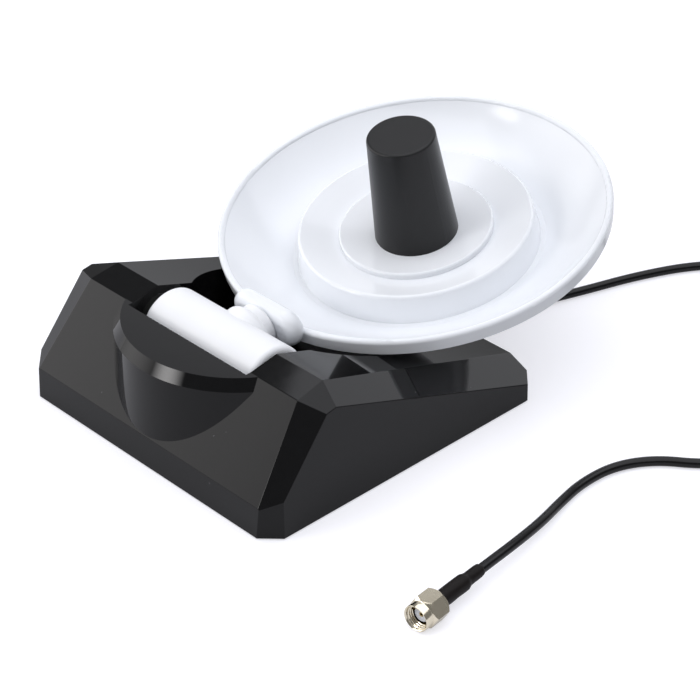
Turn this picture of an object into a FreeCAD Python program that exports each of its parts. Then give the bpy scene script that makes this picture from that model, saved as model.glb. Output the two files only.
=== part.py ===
# Directional antenna: a white dish with a black feed cover on a hinged neck, over a black
# wedge-shaped desk base, with a coaxial cord that ends in a threaded plug.
# Millimetres, +Z up, front towards -Y, origin on the desk under the middle of the base.
import FreeCAD
import Part
import Sketcher
import math
import os
import re

SIZES = {
    # Base shell: plan, and the profile seen from the side
    "base_width": 104.0,
    "base_depth": 105.0,
    "corner_cut": 5.2,
    "side_draft": 1.4,
    "shell_wall": 2.2,
    "foot_height": 0.5,
    "front_wall_height": 9.7,
    "front_wall_lean": 0.7,
    "slope_top_height": 33.9,
    "slope_top_inset": 18.5,
    "ridge_rise": 1.7,
    "ridge_run": 9.5,
    "back_wall_height": 9.5,
    "back_wall_lean": 0.6,
    "edge_round": 0.4,
    # Base shell: where the corner facets start, inwards from the side and back from the front
    "slope_bevel": 8.8,
    "ridge_bevel": 9.4,
    "back_bevel": 11.4,
    "slope_facet_drop": 3.5,
    "slope_facet_run": 1.6,
    "ridge_facet_drop": 2.9,
    "ridge_facet_run": 3.2,
    # Base shell: half drum at the front, slot for the barrel, round pocket behind it
    "drum_inset": 36.8,
    "drum_radius": 35.3,
    "drum_draft": 1.6,
    "drum_shoulder": 3.3,
    "drum_chamfer": 2.1,
    "slot_width": 49.4,
    "slot_inset": 17.0,
    "well_floor": 8.0,
    "pocket_radius": 33.0,
    "pocket_inset": 62.0,
    # Bottom cover with its screws and feet
    "cover_thickness": 1.8,
    "cover_gap": 0.1,
    "post_inset": 11.0,
    "post_radius": 3.4,
    "cover_screw_radius": 1.4,
    "cover_screw_head": 2.8,
    "cover_screw_length": 7.0,
    "pad_inset": 22.0,
    "pad_radius": 5.0,
    "pad_recess": 0.8,
    "cross_length": 2.8,
    "cross_width": 0.6,
    "cross_depth": 0.6,
    # Hinge pins, their bosses and the washers
    "pin_radius": 2.6,
    "pin_depth": 10.0,
    "pin_head_radius": 3.8,
    "pin_head_thickness": 1.2,
    "tube_bore": 1.6,
    "boss_radius": 5.2,
    "boss_length": 3.5,
    "washer_radius": 7.0,
    "washer_gap": 0.3,
    "running_gap": 0.05,
    "seat_gap": 0.05,
    # Barrel, collar and neck, measured along the neck from the barrel's axis
    "barrel_inset": 29.5,
    "barrel_height": 24.2,
    "barrel_radius": 10.8,
    "barrel_length": 44.4,
    "barrel_round": 1.5,
    "neck_tilt": 12.0,
    "collar_radius": 8.4,
    "collar_end": 12.2,
    "collar_round": 2.4,
    "neck_radius": 6.4,
    "neck_round": 1.0,
    "neck_end": 15.3,
    "stub_radius": 3.6,
    "stub_end": 19.6,
    # Dish: radii from its axis and depths below its rim
    "rim_radius": 58.5,
    "rim_height": 4.7,
    "rim_lean": 0.35,
    "rim_lip": 2.4,
    "rim_crest": 1.1,
    "dish_wall": 2.0,
    "bowl_radius": 38.6,
    "trough_width": 1.6,
    "trough_depth": 12.5,
    "platform_radius": 35.1,
    "platform_flare": 1.2,
    "platform_round": 1.0,
    "crest_depth": 3.85,
    "platform_depth": 7.3,
    "disc_radius": 23.0,
    "disc_rise": 1.9,
    "disc_round": 0.6,
    "zone_radius": 100.0,
    "bead_width": 26.0,
    "bead_height": 11.4,
    "bead_length": 5.9,
    "bead_round": 2.8,
    "bead_overlap": 2.9,
    # Back cover of the dish, its screws and the reflector plate
    "back_thickness": 1.8,
    "back_gap": 0.2,
    "dish_screw_circle": 26.0,
    "dish_screw_radius": 1.2,
    "dish_screw_head": 2.4,
    "dish_screw_head_depth": 1.0,
    "dish_screw_length": 3.6,
    "dish_boss_radius": 2.8,
    "plate_thickness": 0.6,
    "plate_margin": 0.6,
    # Feed cover and feed board
    "cone_base_radius": 12.4,
    "cone_top_radius": 10.1,
    "cone_height": 34.5,
    "cone_wall": 1.5,
    "cone_round": 0.8,
    "spigot_radius": 9.4,
    "spigot_wall": 1.5,
    "board_width": 13.0,
    "board_thickness": 0.8,
    "board_top": 22.0,
    "board_tab_width": 8.0,
    "board_tab_length": 2.0,
    # Cord and its exit through the back wall
    "cord_radius": 1.4,
    "exit_x": 16.0,
    "exit_height": 5.0,
    "grommet_radius": 2.1,
    "grommet_flange": 2.6,
    "grommet_flange_thickness": 1.0,
    "grommet_length": 8.0,
    "grommet_tip": 1.9,
    # Coil of the cord, and its tie
    "coil_x": 93.5,
    "coil_y": 113.0,
    "coil_radius": 16.2,
    "bundle_radius": 4.7,
    "tie_thickness": 0.5,
    "tie_angle": 24.0,
    "tie_turn": 190.0,
    # Plug, measured back from the front of its nut
    "plug_x": 102.1,
    "plug_y": -49.0,
    "plug_turn": 5.6,
    "nut_flats": 8.0,
    "nut_length": 8.9,
    "nut_collar_radius": 3.75,
    "nut_collar_length": 2.5,
    "nut_chamfer": 0.7,
    "nut_bore": 3.05,
    "nut_edge": 0.3,
    "nut_thread": 2.6,
    "nut_relief": 3.4,
    "nut_lip": 2.6,
    "plug_face": 3.1,
    "plug_shell_radius": 2.4,
    "plug_shell_wall": 0.3,
    "plug_flange_radius": 2.8,
    "plug_flange_length": 1.2,
    "plug_tail_radius": 1.9,
    "plug_tail_end": 11.0,
    "plug_tail_bore": 1.2,
    "contact_radius": 0.65,
    "contact_bore": 0.42,
    "ferrule_wall": 0.15,
    "ferrule_end": 19.4,
    "shrink_wall": 0.3,
    "shrink_step": 20.4,
    "shrink_neck_radius": 1.85,
    "shrink_end": 26.6,
}

doc = FreeCAD.newDocument("directional_antenna")
sheet = doc.addObject("Spreadsheet::Sheet", "Sizes")
for row, (size_name, size_value) in enumerate(SIZES.items(), start=1):
    sheet.set(f"A{row}", size_name)
    sheet.set(f"B{row}", str(size_value))
    sheet.setAlias(f"B{row}", size_name)
doc.recompute()

nodes = []


def linked(text):
    """Write an expression on size names as one that reads the sheet's cells."""
    return re.sub(r"[a-z][a-z_]*", lambda word: f"Sizes.{word[0]}" if word[0] in SIZES else word[0], text)


def size(text):
    """The present value of an expression on size names."""
    return float(sheet.evalExpression(linked(text)))


def bind(item, settings):
    """Tie an object's properties to expressions on size names."""
    for place, text in settings.items():
        item.setExpression(place, linked(text))


def place(item, x="0", y="0", z="0"):
    """Tie the position of an object to the sheet."""
    bind(item, {"Placement.Base.x": x, "Placement.Base.y": y, "Placement.Base.z": z})


def node(item, name):
    """Name an object as one finished sub-part."""
    item.Label = name
    nodes.append(item)
    return item


# Primitives and booleans

TURNS = {
    "x": FreeCAD.Rotation(FreeCAD.Vector(0, 1, 0), 90),
    "y": FreeCAD.Rotation(FreeCAD.Vector(1, 0, 0), -90),
    "z": FreeCAD.Rotation(),
}


def box(name, length, width, height, x, y, z):
    item = doc.addObject("Part::Box", name)
    bind(item, {"Length": length, "Width": width, "Height": height})
    place(item, x, y, z)
    return item


def cylinder(name, radius, height, x, y, z, axis="z"):
    item = doc.addObject("Part::Cylinder", name)
    bind(item, {"Radius": radius, "Height": height})
    item.Placement.Rotation = TURNS[axis]
    place(item, x, y, z)
    return item


def cone(name, lower, upper, height, x, y, z):
    item = doc.addObject("Part::Cone", name)
    bind(item, {"Radius1": lower, "Radius2": upper, "Height": height})
    place(item, x, y, z)
    return item


def fuse(name, *shapes):
    item = doc.addObject("Part::MultiFuse", name)
    item.Shapes = list(shapes)
    return item


def cut(name, base, *tools):
    item = doc.addObject("Part::Cut", name)
    item.Base = base
    item.Tool = tools[0] if len(tools) == 1 else fuse(f"{name}_tools", *tools)
    return item


def common(name, first, second):
    item = doc.addObject("Part::Common", name)
    item.Base = first
    item.Tool = second
    return item


def group(name, items):
    item = doc.addObject("Part::Compound", name)
    item.Links = items
    return item


# Bodies made from sketches

def body(name):
    return doc.addObject("PartDesign::Body", name)


def blank_sketch(owner, name, plane_role, lift):
    drawing = owner.newObject("Sketcher::SketchObject", name)
    planes = [feature for feature in owner.Origin.OriginFeatures if feature.Role == plane_role]
    drawing.AttachmentSupport = [(planes[0], "")]
    drawing.MapMode = "FlatFace"
    bind(drawing, {"AttachmentOffset.Base.z": lift})
    return drawing


def lock(drawing, kind, *target, text):
    """Add one dimension to a sketch and tie it to the sheet."""
    index = drawing.addConstraint(Sketcher.Constraint(kind, *target, size(text)))
    drawing.setExpression(f"Constraints[{index}]", linked(text))


def arc_between(start, end, radius):
    """The short arc from start to end: to the left for a positive radius, else to the right."""
    chord = end - start
    half = chord.Length / 2
    side = FreeCAD.Vector(-chord.y, chord.x, 0) / chord.Length * math.copysign(1, radius)
    centre = (start + end) / 2 + side * math.sqrt(max(radius * radius - half * half, 0))
    first, last = (start, end) if radius > 0 else (end, start)
    angles = [math.atan2(point.y - centre.y, point.x - centre.x) for point in (first, last)]
    circle = Part.Circle(centre, FreeCAD.Vector(0, 0, 1), abs(radius))
    return Part.ArcOfCircle(circle, angles[0], angles[1])


def outline(owner, name, plane_role, points, lift="0"):
    """A closed outline: each point is (x, y), or (x, y, radius) where an arc leads to the next point."""
    drawing = blank_sketch(owner, name, plane_role, lift)
    corners = [FreeCAD.Vector(size(point[0]), size(point[1]), 0) for point in points]
    starts = []
    for index, point in enumerate(points):
        following = corners[(index + 1) % len(points)]
        if len(point) == 3:
            drawing.addGeometry(arc_between(corners[index], following, size(point[2])))
            starts.append(1 if size(point[2]) > 0 else 2)
        else:
            drawing.addGeometry(Part.LineSegment(corners[index], following))
            starts.append(1)
    for index, point in enumerate(points):
        following = (index + 1) % len(points)
        end = 3 - starts[index]
        drawing.addConstraint(Sketcher.Constraint("Coincident", index, end, following, starts[following]))
    for index, point in enumerate(points):
        lock(drawing, "DistanceX", -1, 1, index, starts[index], text=point[0])
        lock(drawing, "DistanceY", -1, 1, index, starts[index], text=point[1])
        if len(point) == 3:
            lock(drawing, "Radius", index, text=point[2].lstrip("-"))
    return drawing


def circles(owner, name, plane_role, centres, radius, lift="0"):
    """A sketch of equal circles."""
    drawing = blank_sketch(owner, name, plane_role, lift)
    for index, (x, y) in enumerate(centres):
        centre = FreeCAD.Vector(size(x), size(y), 0)
        drawing.addGeometry(Part.Circle(centre, FreeCAD.Vector(0, 0, 1), size(radius)))
        lock(drawing, "DistanceX", -1, 1, index, 3, text=x)
        lock(drawing, "DistanceY", -1, 1, index, 3, text=y)
        lock(drawing, "Radius", index, text=radius)
    return drawing


def turned(owner, name, drawing, axis="V_Axis", removes=False):
    """Revolve a sketch about one of its axes, adding to the body or cutting it."""
    kind = "PartDesign::Groove" if removes else "PartDesign::Revolution"
    feature = owner.newObject(kind, name)
    feature.Profile = drawing
    feature.ReferenceAxis = (drawing, [axis])
    feature.Angle = 360
    return feature


def raised(owner, name, drawing, length, down=False):
    """Pad a sketch along its normal, or against it."""
    feature = owner.newObject("PartDesign::Pad", name)
    feature.Profile = drawing
    bind(feature, {"Length": length})
    feature.Reversed = down
    return feature


def sunk(owner, name, drawing, length, upward=False):
    """Pocket a sketch against its normal, or along it."""
    feature = owner.newObject("PartDesign::Pocket", name)
    feature.Profile = drawing
    bind(feature, {"Length": length})
    feature.Reversed = upward
    return feature


# Base shell: plan outline raised with draft, met by the side profile, then trimmed by corner facets

FRONT = "-base_depth / 2"
BACK = "base_depth / 2"
SIDE = "base_width / 2"
RIDGE_HEIGHT = "(slope_top_height + ridge_rise)"
RIDGE_INSET = "(slope_top_inset + ridge_run)"


def plan_points(inset):
    """The plan outline of the base, an oblong with cut corners, drawn inwards by an inset."""
    half_x = f"({SIDE} - ({inset}))"
    half_y = f"({BACK} - ({inset}))"
    corner = f"(corner_cut - ({inset}) * (2 - sqrt(2)))"
    quarter = [(f"{half_x} - {corner}", half_y), (half_x, f"{half_y} - {corner}")]
    right = [(x, f"-({y})") for x, y in quarter] + quarter[::-1]
    return right + [(f"-({x})", y) for x, y in right[::-1]]


plan_body = body("shell_plan")
plan_sketch = outline(plan_body, "shell_plan_outline", "XY_Plane", plan_points("0"))
plan_pad = raised(plan_body, "shell_plan_block", plan_sketch, f"{RIDGE_HEIGHT} + shell_wall")
bind(plan_pad, {"TaperAngle": "-side_draft"})

profile_body = body("shell_profile")
profile_sketch = outline(profile_body, "shell_profile_outline", "YZ_Plane", [
    (FRONT, "foot_height"),
    (BACK, "foot_height"),
    (f"{BACK} - back_wall_lean", "back_wall_height"),
    (f"{FRONT} + {RIDGE_INSET}", RIDGE_HEIGHT),
    (f"{FRONT} + slope_top_inset", "slope_top_height"),
    (f"{FRONT} + front_wall_lean", "front_wall_height"),
])
profile_pad = raised(profile_body, "shell_profile_block", profile_sketch, "base_width * 2")
profile_pad.Midplane = True

SIDE_AT = "base_width / 2 - {0} * tan(side_draft)"
SLOPE_FOOT = (f"{SIDE} - corner_cut", f"{FRONT} + front_wall_lean", "front_wall_height")
SLOPE_TOP = (f"{SIDE} - slope_bevel", f"{FRONT} + slope_top_inset", "slope_top_height")
SLOPE_LOW = "(slope_top_height - slope_facet_drop)"
SLOPE_SIDE = (SIDE_AT.format(SLOPE_LOW), f"{FRONT} + slope_top_inset + slope_facet_run", SLOPE_LOW)
RIDGE_TOP = (f"{SIDE} - ridge_bevel", f"{FRONT} + {RIDGE_INSET}", RIDGE_HEIGHT)
RIDGE_LOW = f"({RIDGE_HEIGHT} - ridge_facet_drop)"
RIDGE_SIDE = (SIDE_AT.format(RIDGE_LOW), f"{FRONT} + {RIDGE_INSET} - ridge_facet_run", RIDGE_LOW)
BACK_TOP = (f"{SIDE} - back_bevel", f"{BACK} - back_wall_lean", "back_wall_height")
FACETS = {
    "front_corner": (SLOPE_FOOT, SLOPE_TOP, SLOPE_SIDE),
    "ridge_corner": (SLOPE_TOP, RIDGE_TOP, RIDGE_SIDE),
    "side_bevel": (RIDGE_TOP, BACK_TOP, RIDGE_SIDE),
}


def facet_trims(prefix, inset):
    """Blocks that lie on the outside of each corner facet, moved inwards by an inset, on both sides."""
    trims = []
    reach = size("base_depth * 2")
    for name, corners in FACETS.items():
        points = [FreeCAD.Vector(*(size(text) for text in corner)) for corner in corners]
        outward = (points[1] - points[0]).cross(points[2] - points[0]).normalize()
        if outward.z < 0:
            outward = -outward
        turn = FreeCAD.Rotation(FreeCAD.Vector(0, 0, 1), outward)
        corner = points[0] - outward * inset - turn.multVec(FreeCAD.Vector(reach / 2, reach / 2, 0))
        trim = doc.addObject("Part::Box", f"{prefix}_{name}")
        trim.Length = trim.Width = trim.Height = reach
        trim.Placement = FreeCAD.Placement(corner, turn)
        mirror = doc.addObject("Part::Mirroring", f"{prefix}_{name}_left")
        mirror.Source = trim
        mirror.Normal = FreeCAD.Vector(1, 0, 0)
        trims += [trim, mirror]
    return trims


def drum(prefix, inset):
    """The half drum at the front, with a chamfered top edge, drawn inwards by an inset."""
    low_height = f"slope_top_height - drum_shoulder - foot_height - ({inset})"
    radius = f"drum_radius - ({inset})"
    middle = f"{FRONT} + drum_inset"
    low = cone(f"{prefix}_drum_wall", f"{radius} + ({low_height}) * tan(drum_draft)", radius,
               low_height, "0", middle, "foot_height")
    top = cone(f"{prefix}_drum_top", radius, f"{radius} - drum_chamfer", "drum_shoulder",
               "0", middle, f"foot_height + {low_height}")
    front_half = box(f"{prefix}_drum_front", "drum_radius * 4", RIDGE_INSET, RIDGE_HEIGHT,
                     "-drum_radius * 2", FRONT, "0")
    return common(f"{prefix}_drum", fuse(f"{prefix}_drum_round", low, top), front_half)


def well(prefix, growth):
    """The barrel's slot and the round pocket behind it, grown by a wall."""
    floor = f"well_floor - ({growth})"
    slot = box(f"{prefix}_slot", f"slot_width + 2 * ({growth})", f"pocket_inset - slot_inset + ({growth})",
               RIDGE_HEIGHT, f"-slot_width / 2 - ({growth})", f"{FRONT} + slot_inset - ({growth})", floor)
    pocket = cylinder(f"{prefix}_pocket", f"pocket_radius + ({growth})", RIDGE_HEIGHT,
                      "0", f"{FRONT} + pocket_inset", floor)
    return fuse(prefix, slot, pocket)


def rounded(name, item, radius_name, keeps):
    """Round the edges of an item that pass a test on their middle point."""
    doc.recompute()
    chosen = [index for index, edge in enumerate(item.Shape.Edges, start=1) if keeps(edge)]
    result = doc.addObject("Part::Fillet", name)
    result.Base = item
    result.Edges = [(index, size(radius_name), size(radius_name)) for index in chosen]
    return result


def above_foot(edge):
    return edge.BoundBox.ZMax > size("foot_height") + 0.01


rough_block = common("shell_block_rough", plan_body, profile_body)
faceted_block = cut("shell_block", rough_block, *facet_trims("shell", 0))
soft_block = rounded("shell_block_soft", faceted_block, "edge_round", above_foot)
outer_solid = fuse("shell_outer_solid", soft_block, drum("shell", "0"))
outer_form = cut("shell_outer", outer_solid, well("shell_well", "0"))


def hollow(name, drawing, length, turn_in):
    """A sketch drawn inwards by the wall and extruded, to hollow the shell."""
    inner = doc.addObject("Part::Offset2D", f"{name}_outline")
    inner.Source = drawing
    inner.Join = "Intersection"
    bind(inner, {"Value": "-shell_wall"})
    solid = doc.addObject("Part::Extrusion", name)
    solid.Base = inner
    solid.DirMode = "Custom"
    solid.Dir = turn_in
    solid.Solid = True
    bind(solid, {"LengthFwd": length})
    return solid


UP = FreeCAD.Vector(0, 0, 1)
ACROSS = FreeCAD.Vector(1, 0, 0)
hollow_plan = hollow("hollow_plan", plan_sketch, RIDGE_HEIGHT, UP)
bind(hollow_plan, {"TaperAngle": "-side_draft"})
hollow_profile = hollow("hollow_profile", profile_sketch, "base_width * 2", ACROSS)
hollow_profile.Symmetric = True
hollow_low = hollow("hollow_low", plan_sketch, "foot_height + 2 * shell_wall", UP)
cover_room = hollow("cover_room", plan_sketch, "foot_height + cover_thickness", UP)
hollow_block = cut("hollow_block", common("hollow_rough", hollow_plan, hollow_profile),
                   *facet_trims("hollow", size("shell_wall")))
hollow_all = fuse("hollow_all", hollow_block, hollow_low, drum("hollow", "shell_wall"))

POST_PLACES = [(f"{a}*({SIDE} - post_inset)", f"{b}*({BACK} - post_inset)")
               for a in (-1, 1) for b in (-1, 1)]
posts = [cylinder(f"post_{i}", "post_radius", RIDGE_HEIGHT, x, y, "0")
         for i, (x, y) in enumerate(POST_PLACES)]

BARREL_Y = f"{FRONT} + barrel_inset"
BOSS_START = {-1: "-slot_width / 2 - shell_wall - boss_length", 1: "slot_width / 2"}
PIN_END = "slot_width / 2 + shell_wall + boss_length"
bosses = [cylinder(f"boss_{side}", "boss_radius", "shell_wall + boss_length", BOSS_START[side], BARREL_Y,
                   "barrel_height", "x") for side in (-1, 1)]
cavity = cut("shell_cavity", hollow_all, well("hollow_well", "shell_wall"), *posts, *bosses)

pilot_holes = [cylinder(f"pilot_{i}", "cover_screw_radius + seat_gap", "cover_screw_length",
                        x, y, "foot_height") for i, (x, y) in enumerate(POST_PLACES)]
pin_holes = cylinder("pin_holes", "pin_radius + seat_gap", f"2 * ({PIN_END})", f"-({PIN_END})", BARREL_Y,
                     "barrel_height", "x")
exit_hole = cylinder("exit_hole", "grommet_radius + seat_gap", "shell_wall * 4", "exit_x",
                     f"{BACK} - shell_wall * 3", "exit_height", "y")
node(cut("shell", outer_form, cavity, cover_room, pin_holes, exit_hole, *pilot_holes), "base_shell")

# Bottom cover: a plate in the shell's mouth, countersunk for its screws and recessed for its feet

cover_body = body("cover_plate")
cover_outline = outline(cover_body, "cover_outline", "XY_Plane", plan_points("shell_wall + cover_gap"))
raised(cover_body, "cover_pad", cover_outline, "cover_thickness")
place(cover_body, z="foot_height")

PAD_PLACES = [(f"{a}*({SIDE} - pad_inset)", f"{b}*({BACK} - pad_inset)") for a in (-1, 1) for b in (-1, 1)]
PAD_PLACES.append(("0", "0"))
SINK = "cover_screw_head - cover_screw_radius"
sinks = [cone(f"sink_{i}", "cover_screw_head + seat_gap", "cover_screw_radius + seat_gap", SINK,
              x, y, "foot_height") for i, (x, y) in enumerate(POST_PLACES)]
screw_holes = [cylinder(f"screw_hole_{i}", "cover_screw_radius + seat_gap", "cover_thickness * 2",
                        x, y, "foot_height") for i, (x, y) in enumerate(POST_PLACES)]
recesses = [cylinder(f"recess_{i}", "pad_radius + seat_gap", "foot_height + pad_recess", x, y, "0")
            for i, (x, y) in enumerate(PAD_PLACES)]
node(cut("cover", cover_body, *sinks, *screw_holes, *recesses), "bottom_cover")

CROSS_BARS = [("cross_length", "cross_width"), ("cross_width", "cross_length")]
cover_screw_list = []
for i, (x, y) in enumerate(POST_PLACES):
    head = cone(f"cover_screw_head_{i}", "cover_screw_head", "cover_screw_radius", SINK,
                x, y, "foot_height")
    shank = cylinder(f"cover_screw_shank_{i}", "cover_screw_radius", "cover_screw_length - seat_gap",
                     x, y, "foot_height")
    crosses = [box(f"cover_screw_{long}_{i}", long, wide, "cross_depth",
                   f"{x} - {long} / 2", f"{y} - {wide} / 2", "foot_height") for long, wide in CROSS_BARS]
    cover_screw_list.append(cut(f"cover_screw_{i}", fuse(f"cover_screw_blank_{i}", head, shank), *crosses))
node(group("cover_screw_set", cover_screw_list), "cover_screws")

pads = [cylinder(f"pad_{i}", "pad_radius", "foot_height + pad_recess", x, y, "0")
        for i, (x, y) in enumerate(PAD_PLACES)]
node(group("pad_set", pads), "rubber_feet")

# Hinge: a solid pin on the left, a hollow one for the lead on the right, and a washer at each end

PIN_LENGTH = f"{PIN_END} - barrel_length / 2 + pin_depth"
pin_shaft = cylinder("pin_shaft", "pin_radius", PIN_LENGTH, f"-({PIN_END})", BARREL_Y, "barrel_height", "x")
pin_head = cylinder("pin_head", "pin_head_radius", "pin_head_thickness",
                    f"-({PIN_END}) - pin_head_thickness", BARREL_Y, "barrel_height", "x")
node(fuse("pin", pin_shaft, pin_head), "hinge_pin")

tube_shaft = cylinder("tube_shaft", "pin_radius", PIN_LENGTH, "barrel_length / 2 - pin_depth", BARREL_Y,
                      "barrel_height", "x")
tube_head = cylinder("tube_head", "pin_head_radius", "pin_head_thickness", PIN_END, BARREL_Y,
                     "barrel_height", "x")
tube_hole = cylinder("tube_hole", "tube_bore", f"({PIN_LENGTH}) * 2", "0", BARREL_Y, "barrel_height", "x")
node(cut("tube", fuse("tube_solid", tube_shaft, tube_head), tube_hole), "hinge_tube")

WASHER = "(slot_width - barrel_length) / 2 - washer_gap"
washers = []
for side, start in ((-1, "-slot_width / 2"), (1, f"slot_width / 2 - ({WASHER})")):
    disc = cylinder(f"washer_disc_{side}", "washer_radius", WASHER, start, BARREL_Y, "barrel_height", "x")
    hole = cylinder(f"washer_hole_{side}", "pin_radius + seat_gap", WASHER,
                    start, BARREL_Y, "barrel_height", "x")
    washers.append(cut(f"washer_{side}", disc, hole))
node(group("washer_set", washers), "friction_washers")

# Tilting arm: one moulding of barrel, collar, neck and stub, in a frame at the barrel's axis

TILT_AXIS = FreeCAD.Vector(1, 0, 0)


def place_on_arm(item, along="0"):
    """Put an object in the arm's frame, some way along the neck."""
    item.Placement = FreeCAD.Placement(FreeCAD.Vector(), FreeCAD.Rotation(TILT_AXIS, size("neck_tilt")))
    bind(item, {"Placement.Rotation.Angle": "neck_tilt"})
    place(item, "0", f"{BARREL_Y} + ({along}) * cos(neck_tilt)",
          f"barrel_height + ({along}) * sin(neck_tilt)")


arm = body("arm")
END = "barrel_length / 2"
barrel_outline = outline(arm, "barrel_outline", "XY_Plane", [
    (f"-{END}", "0"),
    (END, "0"),
    (END, "barrel_radius - barrel_round", "barrel_round"),
    (f"{END} - barrel_round", "barrel_radius"),
    (f"-({END} - barrel_round)", "barrel_radius", "barrel_round"),
    (f"-{END}", "barrel_radius - barrel_round"),
])
turned(arm, "barrel", barrel_outline, "H_Axis")
neck_outline = outline(arm, "neck_outline", "XY_Plane", [
    ("0", "0"),
    ("collar_radius", "0"),
    ("collar_radius", "collar_end - collar_round", "collar_round"),
    ("collar_radius - collar_round", "collar_end"),
    ("neck_radius", "collar_end"),
    ("neck_radius", "neck_end - neck_round", "neck_round"),
    ("neck_radius - neck_round", "neck_end"),
    ("stub_radius", "neck_end"),
    ("stub_radius", "stub_end"),
    ("0", "stub_end"),
])
turned(arm, "neck", neck_outline)
pin_bores = outline(arm, "pin_bores", "XY_Plane", [
    (f"{END} - pin_depth - running_gap", "0"),
    (f"{END} + barrel_round", "0"),
    (f"{END} + barrel_round", "pin_radius + running_gap"),
    (f"{END} - pin_depth - running_gap", "pin_radius + running_gap"),
])
turned(arm, "tube_side_bore", pin_bores, "H_Axis", removes=True)
pin_bores_left = outline(arm, "pin_bores_left", "XY_Plane", [
    (f"-({END} - pin_depth - running_gap)", "0"),
    (f"-({END} - pin_depth - running_gap)", "pin_radius + running_gap"),
    (f"-({END} + barrel_round)", "pin_radius + running_gap"),
    (f"-({END} + barrel_round)", "0"),
])
turned(arm, "pin_side_bore", pin_bores_left, "H_Axis", removes=True)
lead_way = outline(arm, "lead_way", "XY_Plane", [
    ("0", "0"), (END, "0"), (END, "tube_bore"), ("0", "tube_bore"),
])
turned(arm, "lead_way_across", lead_way, "H_Axis", removes=True)
neck_way = outline(arm, "neck_way", "XY_Plane", [
    ("0", "0"), ("tube_bore", "0"), ("tube_bore", "stub_end * 2"), ("0", "stub_end * 2"),
])
turned(arm, "lead_way_along", neck_way, removes=True)
place_on_arm(arm)
node(arm, "pivot_barrel")

# Dish: one moulding of rim, bowl, stepped platform and the bead that takes the arm's stub

DISH_REACH = "(neck_end + bead_length - bead_overlap + rim_radius)"
PLATFORM_FOOT = "(platform_radius + platform_flare)"
TROUGH_RADIUS = f"({PLATFORM_FOOT} + trough_width)"
UNDER = "(platform_depth + dish_wall)"
UNDER_CREST = "(crest_depth + platform_round + dish_wall)"
HOLLOW_RADIUS = "(platform_radius - dish_wall)"
FLAT_RADIUS = "(dish_screw_circle + dish_boss_radius + plate_margin)"
BEAD_START = f"(neck_end - {DISH_REACH})"
BEAD_FLAT = "(bead_width - bead_height) / 2"


def softened(owner, name, feature, radius, keeps):
    """Round the edges of a body's latest feature that pass a test."""
    doc.recompute()
    chosen = [f"Edge{index}" for index, edge in enumerate(feature.Shape.Edges, start=1) if keeps(edge)]
    result = owner.newObject("PartDesign::Fillet", name)
    result.Base = (feature, chosen)
    bind(result, {"Radius": radius})
    return result


dish = body("dish")
bead_outline = outline(dish, "bead_outline", "XZ_Plane", [
    (f"-{BEAD_FLAT}", "-bead_height / 2"),
    (BEAD_FLAT, "-bead_height / 2", "bead_height / 2"),
    ("bead_width / 2", "0", "bead_height / 2"),
    (BEAD_FLAT, "bead_height / 2"),
    (f"-{BEAD_FLAT}", "bead_height / 2", "bead_height / 2"),
    ("-bead_width / 2", "0", "bead_height / 2"),
], f"-{BEAD_START}")
bead = raised(dish, "bead", bead_outline, "bead_length", down=True)
softened(dish, "bead_soft", bead, "bead_round", lambda edge: edge.BoundBox.YLength < 0.01)
dish_outline = outline(dish, "dish_outline", "XZ_Plane", [
    ("spigot_radius + seat_gap", "-platform_depth"),
    ("spigot_radius + seat_gap", f"-{UNDER}"),
    (FLAT_RADIUS, f"-{UNDER}"),
    (HOLLOW_RADIUS, f"-{UNDER_CREST}"),
    (HOLLOW_RADIUS, "-trough_depth - dish_wall"),
    (TROUGH_RADIUS, "-trough_depth - dish_wall", "bowl_radius + dish_wall"),
    ("rim_radius - rim_lip", "-rim_height"),
    ("rim_radius - rim_lean", "-rim_height"),
    ("rim_radius", "-rim_crest", "rim_crest"),
    ("rim_radius - rim_crest", "0", "rim_crest"),
    ("rim_radius - 2 * rim_crest", "-rim_crest", "-bowl_radius"),
    (TROUGH_RADIUS, "-trough_depth"),
    (PLATFORM_FOOT, "-trough_depth"),
    ("platform_radius", "-crest_depth - platform_round", "platform_round"),
    ("platform_radius - platform_round", "-crest_depth", "-zone_radius"),
    ("disc_radius", "-platform_depth"),
    ("disc_radius", "-platform_depth + disc_rise - disc_round", "disc_round"),
    ("disc_radius - disc_round", "-platform_depth + disc_rise", "-zone_radius"),
    ("cone_base_radius + seat_gap", "-platform_depth"),
])
turned(dish, "dish_bowl", dish_outline)
stub_bore = outline(dish, "stub_bore", "XY_Plane", [
    ("0", f"{BEAD_START} - bead_length"),
    ("stub_radius + seat_gap", f"{BEAD_START} - bead_length"),
    ("stub_radius + seat_gap", f"stub_end + seat_gap - {DISH_REACH}"),
    ("0", f"stub_end + seat_gap - {DISH_REACH}"),
])
turned(dish, "stub_seat", stub_bore, removes=True)
DISH_SCREWS = [(f"dish_screw_circle * cos({angle})", f"dish_screw_circle * sin({angle})")
               for angle in (90, 210, 330)]
BOSS_LENGTH = f"trough_depth + dish_wall - back_thickness - {UNDER}"
boss_circles = circles(dish, "dish_boss_circles", "XY_Plane", DISH_SCREWS, "dish_boss_radius", f"-{UNDER}")
raised(dish, "dish_bosses", boss_circles, BOSS_LENGTH, down=True)
boss_holes = circles(dish, "dish_boss_holes", "XY_Plane", DISH_SCREWS, "dish_screw_radius + seat_gap",
                     f"-{UNDER} - ({BOSS_LENGTH})")
sunk(dish, "dish_boss_bores", boss_holes, BOSS_LENGTH, upward=True)
place_on_arm(dish, DISH_REACH)
node(dish, "dish_front")

# Back cover of the dish: a disc in the hollow under the platform, held by three screws

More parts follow.
